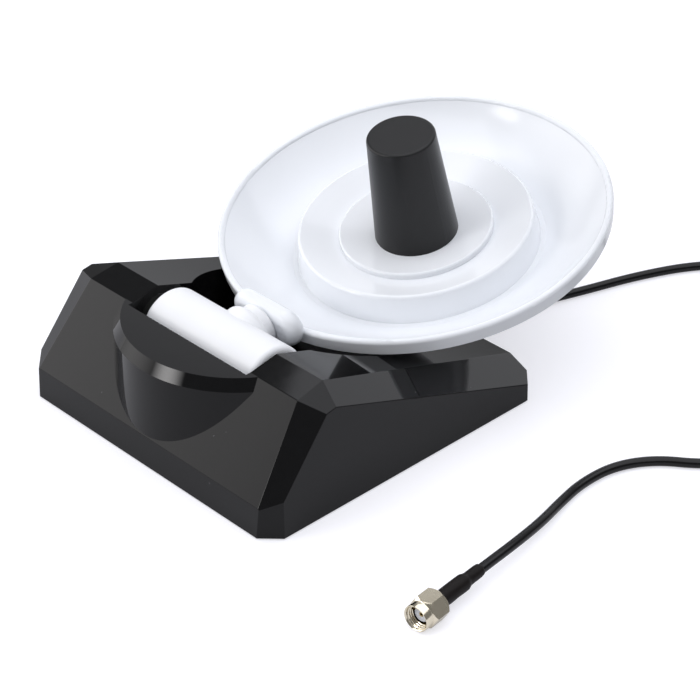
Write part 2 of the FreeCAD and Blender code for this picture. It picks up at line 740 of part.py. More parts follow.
BACK_FACE = "(trough_depth + dish_wall)"
back = body("back_disc")
back_outline = outline(back, "back_outline", "XZ_Plane", [
    ("0", f"-{BACK_FACE}"),
    (f"{HOLLOW_RADIUS} - back_gap", f"-{BACK_FACE}"),
    (f"{HOLLOW_RADIUS} - back_gap", f"-{BACK_FACE} + back_thickness"),
    ("0", f"-{BACK_FACE} + back_thickness"),
])
turned(back, "back_plate", back_outline)
back_holes = circles(back, "back_holes", "XY_Plane", DISH_SCREWS,
                     "dish_screw_radius + seat_gap", f"-{BACK_FACE}")
sunk(back, "back_hole_bores", back_holes, "back_thickness", upward=True)
back_recess = circles(back, "back_recesses", "XY_Plane", DISH_SCREWS,
                      "dish_screw_head + seat_gap", f"-{BACK_FACE}")
sunk(back, "back_recess_bores", back_recess, "dish_screw_head_depth", upward=True)
place_on_arm(back, DISH_REACH)
node(back, "dish_back")

fixings = body("dish_fixings")
fixings.AllowCompound = True
head_circles = circles(fixings, "dish_screw_heads", "XY_Plane", DISH_SCREWS,
                       "dish_screw_head", f"-{BACK_FACE}")
raised(fixings, "dish_screw_head_pads", head_circles, "dish_screw_head_depth")
shank_circles = circles(fixings, "dish_screw_shanks", "XY_Plane", DISH_SCREWS, "dish_screw_radius",
                        f"-{BACK_FACE} + dish_screw_head_depth")
raised(fixings, "dish_screw_shank_pads", shank_circles, "dish_screw_length")
for i, (x, y) in enumerate(DISH_SCREWS):
    for long, wide in CROSS_BARS:
        bar = outline(fixings, f"dish_screw_{long}_{i}", "XY_Plane", [
            (f"{x} - {long} / 2", f"{y} - {wide} / 2"),
            (f"{x} + {long} / 2", f"{y} - {wide} / 2"),
            (f"{x} + {long} / 2", f"{y} + {wide} / 2"),
            (f"{x} - {long} / 2", f"{y} + {wide} / 2"),
        ], f"-{BACK_FACE}")
        sunk(fixings, f"dish_screw_{long}_cut_{i}", bar, "cross_depth", upward=True)
place_on_arm(fixings, DISH_REACH)
node(fixings, "dish_screws")

# Reflector plate: a thin metal disc under the platform, slotted for the feed board

plate = body("reflector")
plate_outline = outline(plate, "plate_outline", "XZ_Plane", [
    ("0", f"-{UNDER} - plate_thickness"),
    (f"{HOLLOW_RADIUS} - plate_margin", f"-{UNDER} - plate_thickness"),
    (f"{HOLLOW_RADIUS} - plate_margin", f"-{UNDER}"),
    ("0", f"-{UNDER}"),
])
turned(plate, "plate_disc", plate_outline)
plate_holes = circles(plate, "plate_holes", "XY_Plane", DISH_SCREWS,
                      "dish_boss_radius + seat_gap", f"-{UNDER}")
sunk(plate, "plate_hole_bores", plate_holes, "plate_thickness")
TAB_HALF = "(board_tab_width / 2 + seat_gap)"
SLIT_HALF = "(board_thickness / 2 + seat_gap)"
plate_slit = outline(plate, "plate_slit", "XY_Plane", [
    (f"-{TAB_HALF}", f"-{SLIT_HALF}"),
    (TAB_HALF, f"-{SLIT_HALF}"),
    (TAB_HALF, SLIT_HALF),
    (f"-{TAB_HALF}", SLIT_HALF),
], f"-{UNDER}")
sunk(plate, "plate_slit_cut", plate_slit, "plate_thickness")
place_on_arm(plate, DISH_REACH)
node(plate, "reflector_plate")

# Feed cover: a hollow truncated cone with a spigot that plugs into the platform

CONE_TOP = "(cone_height - platform_depth)"
INNER_FOOT = "(platform_depth - cone_wall)"
feed = body("feed_cone")
feed_outline = outline(feed, "feed_outline", "XZ_Plane", [
    ("spigot_radius - spigot_wall", f"-{UNDER} + seat_gap"),
    ("spigot_radius", f"-{UNDER} + seat_gap"),
    ("spigot_radius", "-platform_depth"),
    ("cone_base_radius", "-platform_depth"),
    ("cone_top_radius", f"{CONE_TOP} - cone_round", "cone_round"),
    ("cone_top_radius - cone_round", CONE_TOP),
    ("0", CONE_TOP),
    ("0", f"{CONE_TOP} - cone_wall"),
    ("cone_top_radius - cone_wall", f"{CONE_TOP} - cone_wall"),
    ("cone_base_radius - cone_wall", f"-{INNER_FOOT}"),
    ("spigot_radius - spigot_wall", f"-{INNER_FOOT}"),
])
turned(feed, "feed_shell", feed_outline)
place_on_arm(feed, DISH_REACH)
node(feed, "feed_cover")

board = body("board")
board_outline = outline(board, "board_outline", "XZ_Plane", [
    ("-board_tab_width / 2", f"-{UNDER} - board_tab_length"),
    ("board_tab_width / 2", f"-{UNDER} - board_tab_length"),
    ("board_tab_width / 2", f"-{UNDER}"),
    ("board_width / 2", f"-{UNDER}"),
    ("board_width / 2", "board_top"),
    ("-board_width / 2", "board_top"),
    ("-board_width / 2", f"-{UNDER}"),
    ("-board_tab_width / 2", f"-{UNDER}"),
])
board_pad = raised(board, "board_sheet", board_outline, "board_thickness")
board_pad.Midplane = True
place_on_arm(board, DISH_REACH)
node(board, "feed_board")

# Grommet: a tapered strain relief that clips into the back wall

grommet = body("grommet")
CORD_HOLE = "cord_radius + seat_gap"
WALL_BACK = "-shell_wall - back_wall_lean"
grommet_outline = outline(grommet, "grommet_outline", "XY_Plane", [
    (CORD_HOLE, f"{WALL_BACK} - grommet_flange_thickness"),
    ("grommet_flange", f"{WALL_BACK} - grommet_flange_thickness"),
    ("grommet_flange", WALL_BACK),
    ("grommet_radius", WALL_BACK),
    ("grommet_radius", "0"),
    ("grommet_flange", "0"),
    ("grommet_flange", "grommet_flange_thickness"),
    ("grommet_tip", "grommet_length"),
    (CORD_HOLE, "grommet_length"),
])
turned(grommet, "grommet_sleeve", grommet_outline)
place(grommet, "exit_x", BACK, "exit_height")
node(grommet, "cable_grommet")

# Cord: round tubes along routes of points, straight runs joined by arcs as large as the runs allow


def vector(x, y, z):
    return FreeCAD.Vector(x, y, z)


def cord_tube(name, points):
    """Sweep the cord's round section along a route, and print its length and the radii of its bends."""
    edges = []
    radii = []
    start = points[0]
    for before, corner, after in zip(points, points[1:], points[2:]):
        arriving = (corner - before).normalize()
        leaving = (after - corner).normalize()
        trim = 0.45 * min((corner - before).Length, (after - corner).Length)
        half_turn = arriving.getAngle(leaving) / 2
        radius = trim / math.tan(half_turn)
        radii.append(round(radius, 1))
        first = corner - arriving * trim
        last = corner + leaving * trim
        inward = (leaving - arriving).normalize()
        middle = corner + inward * (radius / math.cos(half_turn) - radius)
        edges.append(Part.LineSegment(start, first).toShape())
        edges.append(Part.Arc(first, middle, last).toShape())
        start = last
    edges.append(Part.LineSegment(start, points[-1]).toShape())
    path = Part.Wire(edges)
    section = Part.Wire([Part.makeCircle(size("cord_radius"), points[0], points[1] - points[0])])
    tube = path.makePipeShell([section], True, False)
    item = doc.addObject("Part::Feature", name)
    item.Shape = tube
    expected = path.Length * math.pi * size("cord_radius") ** 2
    print(f"{name}: length {path.Length:.1f}, volume ratio {tube.Volume / expected:.4f}, radii {radii}")
    return node(item, name)


cord_low = size("cord_radius")
exit_x = size("exit_x")
exit_z = size("exit_height")
wall_y = size(f"{BACK} + {WALL_BACK} - grommet_flange_thickness")
tip_y = size(f"{BACK} + grommet_length")
joint_y = size(f"{BACK} + grommet_flange_thickness * 2")
barrel_y = size(BARREL_Y)
barrel_z = size("barrel_height")
tube_end = size(f"{PIN_END} + pin_head_thickness")
side_x = size(f"{SIDE} - shell_wall")
cord_tube("inner_lead", [
    vector(tube_end, barrel_y, barrel_z),
    vector(tube_end + 7.0, barrel_y + 0.6, barrel_z - 0.3),
    vector(side_x - 5.4, barrel_y + 5.8, barrel_z - 2.0),
    vector(side_x - 3.8, barrel_y + 15.0, barrel_z - 6.7),
    vector(side_x - 4.2, barrel_y + 27.0, exit_z + 5.0),
    vector(side_x - 7.8, barrel_y + 41.0, exit_z - 0.4),
    vector(exit_x + 11.0, wall_y - 14.7, exit_z - 1.1),
    vector(exit_x, wall_y - 6.2, exit_z),
    vector(exit_x, joint_y, exit_z),
])

coil_x = size("coil_x")
coil_y = size("coil_y")
coil_turn = size("coil_radius")
cord_tube("cord_back", [
    vector(exit_x, joint_y, exit_z),
    vector(exit_x, tip_y + 5.6, exit_z),
    vector(exit_x + 0.9, tip_y + 17.6, exit_z - 1.6),
    vector(exit_x + 3.3, tip_y + 30.0, cord_low + 0.2),
    vector(23.8, 104.5, cord_low),
    vector(29.3, 122.5, cord_low),
    vector(37.2, 140.0, cord_low),
    vector(48.5, 153.0, cord_low),
    vector(63.0, 156.0, cord_low),
    vector(77.0, 148.0, cord_low),
    vector(86.0, 135.0, cord_low),
    vector(coil_x + 4.2, coil_y + coil_turn - 0.6, 4.4),
])

plug_angle = math.radians(size("plug_turn"))
plug_z = size("nut_flats / 2")


def behind_plug(distance):
    """A point on the plug's axis, some way back from the front of its nut."""
    return vector(size("plug_x") - distance * math.sin(plug_angle),
                  size("plug_y") + distance * math.cos(plug_angle), plug_z)


cord_tube("cord_front", [
    behind_plug(size("plug_tail_end + seat_gap")),
    behind_plug(size("shrink_end")),
    behind_plug(size("shrink_end + 15.0")) + vector(0, 0, -0.2),
    vector(95.6, 5.0, 2.7),
    vector(92.5, 15.5, cord_low + 0.2),
    vector(90.3, 27.0, cord_low),
    vector(91.2, 39.5, cord_low),
    vector(97.2, 50.0, cord_low),
    vector(107.6, 57.6, cord_low),
    vector(115.0, 68.0, cord_low),
    vector(116.4, 82.0, cord_low),
    vector(113.0, 98.0, 3.0),
    vector(coil_x + coil_turn, coil_y - 1.4, 4.8),
])

# Coil: the outer shape of seven bound turns, and the band that ties them

COIL_HEIGHT = "bundle_radius + tie_thickness"


def ring(name, section, sweep):
    item = doc.addObject("Part::Torus", name)
    bind(item, {"Radius1": "coil_radius", "Radius2": section, "Angle3": sweep})
    return item


coil = ring("coil", "bundle_radius", "360")
place(coil, "coil_x", "coil_y", COIL_HEIGHT)
node(coil, "cord_coil")
band = cut("band", ring("band_outer", "bundle_radius + tie_thickness", "tie_angle"),
           ring("band_inner", "bundle_radius", "tie_angle"))
band.Placement.Rotation = FreeCAD.Rotation(FreeCAD.Vector(0, 0, 1), size("tie_turn"))
bind(band, {"Placement.Rotation.Angle": "tie_turn"})
place(band, "coil_x", "coil_y", COIL_HEIGHT)
node(band, "cord_tie")

# Plug: every piece turned about one axis, which lies level at half the nut's flats


def place_on_plug(item):
    item.Placement = FreeCAD.Placement(FreeCAD.Vector(), FreeCAD.Rotation(UP, size("plug_turn")))
    bind(item, {"Placement.Rotation.Angle": "plug_turn"})
    place(item, "plug_x", "plug_y", "nut_flats / 2")


def plug_piece(name, points):
    """One turned piece of the plug."""
    piece = body(f"{name}_turned")
    turned(piece, f"{name}_form", outline(piece, f"{name}_outline", "XY_Plane", points))
    return piece


HEX_CORNER = "(nut_flats / sqrt(3))"
LIP_START = "(nut_length - nut_lip)"
FLANGE_START = f"({LIP_START} - plug_flange_length - seat_gap)"
nut_round = plug_piece("plug_nut", [
    ("nut_bore + nut_edge", "0"),
    ("nut_collar_radius - nut_edge", "0", "nut_edge"),
    ("nut_collar_radius", "nut_edge"),
    ("nut_collar_radius", "nut_collar_length"),
    ("nut_flats / 2 - seat_gap", "nut_collar_length"),
    (HEX_CORNER, "nut_collar_length + nut_chamfer"),
    (HEX_CORNER, "nut_length - nut_chamfer"),
    ("nut_flats / 2 - seat_gap", "nut_length"),
    ("plug_tail_radius + running_gap", "nut_length"),
    ("plug_tail_radius + running_gap", LIP_START),
    ("nut_relief", LIP_START),
    ("nut_relief", "nut_thread"),
    ("nut_bore", "nut_thread"),
    ("nut_bore", "nut_edge"),
])
hex_bar = doc.addObject("Part::Prism", "nut_hexagon")
hex_bar.Polygon = 6
bind(hex_bar, {"Circumradius": HEX_CORNER, "Height": "nut_length"})
hex_bar.Placement.Rotation = TURNS["y"]
nut = common("nut", nut_round, hex_bar)
place_on_plug(nut)
node(nut, "plug_nut")

plug_body = plug_piece("plug_body", [
    ("plug_shell_radius - plug_shell_wall", "plug_face"),
    ("plug_shell_radius", "plug_face"),
    ("plug_shell_radius", FLANGE_START),
    ("plug_flange_radius", FLANGE_START),
    ("plug_flange_radius", f"{FLANGE_START} + plug_flange_length"),
    ("plug_tail_radius", f"{FLANGE_START} + plug_flange_length"),
    ("plug_tail_radius", "plug_tail_end"),
    ("plug_tail_bore", "plug_tail_end"),
    ("plug_tail_bore", FLANGE_START),
    ("plug_shell_radius - plug_shell_wall", FLANGE_START),
])
place_on_plug(plug_body)
node(plug_body, "plug_body")

dielectric = plug_piece("plug_dielectric", [
    ("contact_radius", "plug_face"),
    ("plug_shell_radius - plug_shell_wall", "plug_face"),
    ("plug_shell_radius - plug_shell_wall", FLANGE_START),
    ("plug_tail_bore", FLANGE_START),
    ("plug_tail_bore", "plug_tail_end"),
    ("contact_radius", "plug_tail_end"),
])
place_on_plug(dielectric)
node(dielectric, "plug_dielectric")

contact = plug_piece("plug_contact", [
    ("contact_bore", "plug_face + seat_gap"),
    ("contact_radius", "plug_face + seat_gap"),
    ("contact_radius", "plug_tail_end"),
    ("0", "plug_tail_end"),
    ("0", "plug_tail_end - contact_bore * 4"),
    ("contact_bore", "plug_tail_end - contact_bore * 4"),
])
place_on_plug(contact)
node(contact, "plug_contact")

FERRULE_RADIUS = "(plug_tail_radius + ferrule_wall)"
SLEEVE_START = "(nut_length + seat_gap * 4)"
ferrule = plug_piece("crimp_ferrule", [
    ("plug_tail_radius", SLEEVE_START),
    (FERRULE_RADIUS, SLEEVE_START),
    (FERRULE_RADIUS, "ferrule_end"),
    (CORD_HOLE, "ferrule_end"),
    (CORD_HOLE, "plug_tail_end"),
    ("plug_tail_radius", "plug_tail_end"),
])
place_on_plug(ferrule)
node(ferrule, "crimp_ferrule")

shrink = plug_piece("heat_shrink", [
    (FERRULE_RADIUS, SLEEVE_START),
    (f"{FERRULE_RADIUS} + shrink_wall", SLEEVE_START),
    (f"{FERRULE_RADIUS} + shrink_wall", "shrink_step"),
    ("shrink_neck_radius", "shrink_step + shrink_wall * 2"),
    ("shrink_neck_radius", "shrink_end"),
    (CORD_HOLE, "shrink_end"),
    (CORD_HOLE, "ferrule_end"),
    (FERRULE_RADIUS, "ferrule_end"),
])
place_on_plug(shrink)
node(shrink, "heat_shrink")

# Check every object and write one file for each sub-part

doc.recompute()
for item in doc.Objects:
    if "Invalid" in item.State or "Error" in item.State:
        raise RuntimeError(f"{item.Name} did not build: {item.State}")
os.makedirs("parts", exist_ok=True)
for item in nodes:
    if item.Shape.isNull() or not item.Shape.isValid():
        raise RuntimeError(f"{item.Label} has no valid shape")
    item.Shape.exportStep(f"parts/{item.Label}.step")
    print(f"{item.Label}: {len(item.Shape.Solids)} solids, {item.Shape.Volume:.1f} cubic millimetres")
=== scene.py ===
import math

import bpy
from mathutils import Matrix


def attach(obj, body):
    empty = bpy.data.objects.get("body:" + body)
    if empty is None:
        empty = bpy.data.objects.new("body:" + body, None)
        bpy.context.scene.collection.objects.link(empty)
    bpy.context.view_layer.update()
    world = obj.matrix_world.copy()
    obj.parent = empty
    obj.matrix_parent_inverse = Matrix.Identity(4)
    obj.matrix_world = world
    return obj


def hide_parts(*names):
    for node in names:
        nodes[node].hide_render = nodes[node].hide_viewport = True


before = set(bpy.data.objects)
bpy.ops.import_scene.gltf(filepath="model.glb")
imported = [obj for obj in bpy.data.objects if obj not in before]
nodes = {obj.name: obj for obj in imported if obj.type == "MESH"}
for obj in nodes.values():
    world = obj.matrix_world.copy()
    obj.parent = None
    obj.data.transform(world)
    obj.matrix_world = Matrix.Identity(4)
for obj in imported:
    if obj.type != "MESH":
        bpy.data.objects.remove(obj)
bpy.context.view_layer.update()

# The viewpoint: a long lens in front and to the right of the antenna, which looks down on it by a
# little more than a third of a right angle, as in the photograph.
LENS_LENGTH = 117.25
FILM_WIDTH = 36.0
NEAREST_SEEN = 0.01
VIEW_PLACE = (0.40939, -0.36630, 0.36516)
DEGREES_DOWN = 32.559
DEGREES_ROUND = 46.188

camera_data = bpy.data.cameras.new("viewpoint")
camera_data.lens = LENS_LENGTH
camera_data.sensor_width = FILM_WIDTH
camera_data.clip_start = NEAREST_SEEN
camera = bpy.data.objects.new("viewpoint", camera_data)
camera.location = VIEW_PLACE
camera.rotation_euler = (math.radians(90 - DEGREES_DOWN), 0, math.radians(DEGREES_ROUND))
bpy.context.scene.collection.objects.link(camera)
bpy.context.scene.camera = camera


# Base shell: one injection moulding in black plastic with a polished outside, a wedge with faceted
# corners, half a drum in front and a slot for the neck. Slow waves from the mould, a fine haze and
# a few specks of dust break up its reflections.
SHELL_CLEAR = (0.0035, 0.0035, 0.0038)
SHELL_HAZY = (0.0055, 0.0055, 0.006)
SHELL_DUST = (0.12, 0.12, 0.13)
SPECK_REACH = 0.028
DUSTY_PATCHES = 0.47


class Wire:
    """One output of a shader's nodes. Sums, differences and products of wires add Math nodes."""

    def __init__(self, socket):
        self.socket = socket

    def node(self, kind, settings=None, sockets=None, output=0):
        """A new node in this wire's tree, as a wire from one of its outputs."""
        tree = self.socket.id_data
        made = tree.nodes.new(kind)
        for name, value in (settings or {}).items():
            setattr(made, name, value)
        for name, value in (sockets or {}).items():
            if isinstance(value, Wire):
                tree.links.new(value.socket, made.inputs[name])
            else:
                made.inputs[name].default_value = value
        return Wire(made.outputs[output])

    def math(self, operation, *values):
        """A Math node's result for one or two values."""
        numbers = dict(enumerate(values))
        return self.node("ShaderNodeMath", {"operation": operation}, numbers)

    def __add__(self, other):
        return self.math("ADD", self, other)

    def __radd__(self, other):
        return self.math("ADD", other, self)

    def __sub__(self, other):
        return self.math("SUBTRACT", self, other)

    def __rsub__(self, other):
        return self.math("SUBTRACT", other, self)

    def __mul__(self, other):
        return self.math("MULTIPLY", self, other)

    def __rmul__(self, other):
        return self.math("MULTIPLY", other, self)

    def noise(self, scale, detail=2.0, roughness=0.5):
        """Cloudy noise over the piece, from 0 to 1, with this many lumps in a metre."""
        return self.node("ShaderNodeTexNoise", {"normalize": True}, {
            "Vector": self, "Scale": scale, "Detail": detail, "Roughness": roughness})

    def squeezed(self, across, along, up):
        """Coordinates with each axis multiplied, so that a pattern on them is drawn out."""
        return self.node("ShaderNodeMapping", None, {
            "Vector": self, "Scale": (across, along, up)})

    def blend(self, low, high):
        """The colour from low, where this wire is 0, to high, where it is 1."""
        factor, low_color, high_color, mixed_color = 0, 6, 7, 2
        ends = [end if isinstance(end, Wire) else (*end, 1.0) for end in (low, high)]
        return self.node("ShaderNodeMix", {"data_type": "RGBA"}, {
            factor: self, low_color: ends[0], high_color: ends[1]}, output=mixed_color)

    def below(self, limit):
        """1 where this wire is less than the limit, and 0 elsewhere."""
        return self.math("LESS_THAN", self, limit)

    def bump(self, depth):
        """A normal for this wire as a relief of the given depth in metres."""
        return self.node("ShaderNodeBump", None, {
            "Height": self, "Distance": depth, "Strength": 1.0})


def new_finish(name, **constants):
    """A material, its shader's inputs with the constants set, and a wire of Object coordinates."""
    material = bpy.data.materials.new(name)
    material.use_nodes = True
    shader = material.node_tree.nodes["Principled BSDF"]
    for label, value in constants.items():
        socket_name = label.replace("_", " ").title().replace("Ior", "IOR")
        shader.inputs[socket_name].default_value = value
    place = Wire(material.node_tree.nodes.new("ShaderNodeTexCoord").outputs["Object"])
    return material, shader.inputs, place


def feed(shader_inputs, **wires):
    """Join wires to the shader's inputs of those names."""
    for label, wire in wires.items():
        target = shader_inputs[label.replace("_", " ").title()]
        target.id_data.links.new(wire.socket, target)


def dress(material, *names):
    """Give CAD nodes their finish."""
    for name in names:
        for slot in nodes[name].material_slots:
            slot.material = material


shell_black, surface, at = new_finish("polished_black_shell", specular_ior_level=0.25)
waves = at.noise(scale=30.0)
haze = at.noise(scale=420.0, detail=4.0)
specks = at.node("ShaderNodeTexVoronoi", {"feature": "F1"}, {"Vector": at, "Scale": 170.0})
dust = specks.below(SPECK_REACH) * at.noise(scale=60.0).below(DUSTY_PATCHES)
plastic = haze.blend(SHELL_CLEAR, SHELL_HAZY)
feed(surface,
     base_color=dust.blend(plastic, SHELL_DUST),
     roughness=0.04 + 0.03 * haze + 0.4 * dust,
     normal=waves.bump(depth=0.00003))
dress(shell_black, "base_shell")


# Bottom cover: a flat plate moulded in black plastic with a spark-eroded grain, which closes the
# shell from below and is held by countersunk screws. The band round the cord's coil is moulded in
# the same plastic.
COVER_DARK = (0.009, 0.009, 0.0095)
COVER_PALE = (0.018, 0.018, 0.019)
cover_black, surface, at = new_finish("grained_black_cover", specular_ior_level=0.4)
pitting = at.noise(scale=2200.0, detail=3.0, roughness=0.7)
feed(surface,
     base_color=pitting.blend(COVER_DARK, COVER_PALE),
     roughness=0.5 + 0.18 * pitting,
     normal=pitting.bump(depth=0.00006))
dress(cover_black, "bottom_cover", "cord_tie")


# Screws and hinge pins: turned steel with a pale zinc coat, driven into the posts of the shell and
# the dish, or pressed into the bosses on both sides of the slot.
ZINC_DARK = (0.50, 0.50, 0.49)
ZINC_PALE = (0.66, 0.66, 0.65)
zinc, surface, at = new_finish("zinc_coated_steel", metallic=1.0)
spangle = at.noise(scale=700.0, detail=3.0)
feed(surface,
     base_color=spangle.blend(ZINC_DARK, ZINC_PALE),
     roughness=0.28 + 0.2 * spangle,
     normal=spangle.bump(depth=0.00001))
dress(zinc, "cover_screws", "dish_screws", "hinge_pin", "hinge_tube")


# Feet and grommet: pressed black rubber, dull and a little dusty. The feet are stuck into
# recesses of the cover, and the grommet is pulled through the back wall round the cord.
RUBBER_CLEAN = (0.010, 0.010, 0.010)
RUBBER_DUSTY = (0.026, 0.025, 0.024)
rubber, surface, at = new_finish("dull_black_rubber", specular_ior_level=0.3)
dust = at.noise(scale=400.0, detail=5.0, roughness=0.65)
feed(surface,
     base_color=dust.blend(RUBBER_CLEAN, RUBBER_DUSTY),
     roughness=0.62 + 0.2 * dust,
     normal=at.noise(scale=1800.0, detail=3.0).bump(depth=0.00004))
dress(rubber, "rubber_feet", "cable_grommet")


# Friction washers: stamped from natural nylon sheet, one between each end of the barrel and the
# slot's wall, where they hold the dish at its tilt.
NYLON_DARK = (0.60, 0.60, 0.56)
NYLON_PALE = (0.72, 0.72, 0.68)
nylon, surface, at = new_finish("natural_nylon", specular_ior_level=0.4)
cloud = at.noise(scale=500.0, detail=3.0)
feed(surface,
     base_color=cloud.blend(NYLON_DARK, NYLON_PALE),
     roughness=0.45 + 0.15 * cloud)
dress(nylon, "friction_washers")


# Barrel and neck: one white moulding in a satin plastic, hung between the walls of the slot on
# the two pins. Its skin is a little duller than the dish's.
ARM_DARK = (0.80, 0.81, 0.83)
ARM_PALE = (0.86, 0.87, 0.89)
arm_white, surface, at = new_finish("satin_white_arm", specular_ior_level=0.45)
skin = at.noise(scale=60.0, detail=3.0)
feed(surface,
     base_color=skin.blend(ARM_DARK, ARM_PALE),
     roughness=0.34 + 0.1 * skin,
     normal=at.noise(scale=1500.0).bump(depth=0.00001))
dress(arm_white, "pivot_barrel")


# Dish: a white moulding with a polished face, its rim, bowl and stepped platform in one piece,
# and a plain disc in the same plastic screwed on behind.
DISH_DARK = (0.79, 0.81, 0.84)
DISH_PALE = (0.83, 0.85, 0.88)
dish_white, surface, at = new_finish("polished_white_dish", specular_ior_level=0.45)
sink = at.noise(scale=32.0)
fine = at.noise(scale=1800.0)
feed(surface,
     base_color=sink.blend(DISH_DARK, DISH_PALE),
     roughness=0.11 + 0.05 * sink + 0.02 * fine,
     normal=(sink * 0.9 + fine * 0.1).bump(depth=0.00003))
dress(dish_white, "dish_front", "dish_back")


# Reflector plate: rolled aluminium sheet behind the platform, with the rolling lines of the mill
# across it.
SHEET_DARK = (0.66, 0.66, 0.67)
SHEET_PALE = (0.78, 0.78, 0.79)
sheet_metal, surface, at = new_finish("rolled_aluminium", metallic=1.0)
rolled = at.squeezed(1.0, 60.0, 1.0).noise(scale=60.0, detail=4.0)
feed(surface,
     base_color=rolled.blend(SHEET_DARK, SHEET_PALE),
     roughness=0.3 + 0.2 * rolled,
     normal=rolled.bump(depth=0.00001))
dress(sheet_metal, "reflector_plate")


# Feed board: green lacquered laminate that stands inside the cover, with the glass cloth just
# showing through the lacquer.
LACQUER_DARK = (0.015, 0.11, 0.045)
LACQUER_PALE = (0.03, 0.17, 0.07)
laminate, surface, at = new_finish("green_laminate", specular_ior_level=0.5)
weave = at.node("ShaderNodeTexChecker", None, {"Vector": at, "Scale": 1200.0}, output="Fac")
cloth = weave * 0.5 + at.noise(scale=300.0) * 0.5
feed(surface,
     base_color=cloth.blend(LACQUER_DARK, LACQUER_PALE),
     roughness=0.25 + 0.15 * weave)
dress(laminate, "feed_board")


# Feed cover: a tapered cap in black plastic with a satin skin, pushed over the spigot in the
# middle of the dish.
CAP_DARK = (0.005, 0.005, 0.0055)
CAP_PALE = (0.008, 0.008, 0.0085)
cap_black, surface, at = new_finish("satin_black_cap", specular_ior_level=0.34)
tooth = at.noise(scale=2400.0, detail=3.0, roughness=0.6)
drift = at.noise(scale=45.0)
feed(surface,
     base_color=drift.blend(CAP_DARK, CAP_PALE),
     roughness=0.28 + 0.06 * drift + 0.05 * tooth,
     normal=tooth.bump(depth=0.00003))
dress(cap_black, "feed_cover")


# Shrunk sleeve: black tubing with a brown cast, shrunk over the ferrule and the cord so that it
# steps down softly from one to the other and follows every small unevenness under it. Profiles
# are radii and distances behind the plug's mouth, in millimetres.
MILLIMETRE = 0.001
PLUG_FRONT = (0.1021, -0.0490, 0.004)
PLUG_TURN = math.radians(5.6)
MERGE_REACH = 0.000002
SMOOTH_UP_TO = math.radians(35)
SLEEVE_DARK = (0.0055, 0.004, 0.0036)
SLEEVE_PALE = (0.0105, 0.008, 0.0075)
LUMP_SIZE = 0.0022
LUMP_HEIGHT = 0.00016
SLEEVE_PROFILE = [
    (2.06, 9.12), (2.28, 9.10), (2.37, 9.30), (2.38, 12.0), (2.34, 15.0), (2.37, 17.6),
    (2.36, 19.0), (2.27, 19.5), (2.06, 20.0), (1.92, 20.5), (1.86, 21.3), (1.85, 23.4),
    (1.82, 25.3), (1.76, 26.0), (1.62, 26.3), (1.38, 26.35), (1.38, 19.5), (2.06, 19.48),
]


def close_up():
    """Merge the doubles of the mesh in edit mode, turn its faces outwards and leave edit mode."""
    bpy.ops.mesh.select_all(action="SELECT")
    bpy.ops.mesh.remove_doubles(threshold=MERGE_REACH)
    bpy.ops.mesh.normals_make_consistent(inside=False)
    bpy.ops.object.mode_set(mode="OBJECT")


def turned(name, profile, sides):
    """A ring-shaped piece, upright: a circle drawn along a profile of radii and heights."""
    radius, height = profile[0]
    bpy.ops.object.select_all(action="DESELECT")
    bpy.ops.mesh.primitive_circle_add(
        vertices=sides, radius=radius * MILLIMETRE, location=(0, 0, 0))
    piece = bpy.context.object
    piece.name = name
    bpy.ops.object.mode_set(mode="EDIT")
    bpy.ops.mesh.select_all(action="SELECT")
    bpy.ops.transform.translate(value=(0, 0, height * MILLIMETRE))
    for next_radius, next_height in profile[1:] + profile[:1]:
        bpy.ops.mesh.extrude_region_move(
            TRANSFORM_OT_translate={"value": (0, 0, (next_height - height) * MILLIMETRE)})
        swell = next_radius / radius
        bpy.ops.transform.resize(
            value=(swell, swell, 1), center_override=(0, 0, next_height * MILLIMETRE))
        radius, height = next_radius, next_height
    close_up()
    return piece


def lay_on_plug(piece, material, body):
    """Turn an upright piece onto the plug's axis, with its place in its mesh, and finish it."""
    piece.rotation_euler = (math.radians(-90), 0, PLUG_TURN)
    piece.location = PLUG_FRONT
    bpy.ops.object.select_all(action="DESELECT")
    piece.select_set(True)
    bpy.context.view_layer.objects.active = piece
    bpy.ops.object.transform_apply(location=True, rotation=True, scale=True)
    bpy.ops.object.shade_smooth_by_angle(angle=SMOOTH_UP_TO)
    piece.data.materials.append(material)
    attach(piece, body)


sleeve_black, surface, at = new_finish("brown_black_sleeve", specular_ior_level=0.14)
drawn = at.squeezed(1.0, 0.12, 1.0).noise(scale=1400.0, detail=3.0)
feed(surface,
     base_color=drawn.blend(SLEEVE_DARK, SLEEVE_PALE),
     roughness=0.38 + 0.15 * drawn,
     normal=drawn.bump(depth=0.00006))
sleeve = turned("shrunk_sleeve", SLEEVE_PROFILE, sides=40)
softened = sleeve.modifiers.new("softened", "SUBSURF")
softened.levels = softened.render_levels = 1
lumps = bpy.data.textures.new("sleeve_lumps", "CLOUDS")
lumps.noise_scale = LUMP_SIZE
uneven = sleeve.modifiers.new("uneven", "DISPLACE")
uneven.texture = lumps
uneven.texture_coords = "LOCAL"
uneven.strength = LUMP_HEIGHT
uneven.mid_level = 0.5
for modifier in ("softened", "uneven"):
    bpy.ops.object.modifier_apply(modifier=modifier)
lay_on_plug(sleeve, sleeve_black, "base")
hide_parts("heat_shrink")


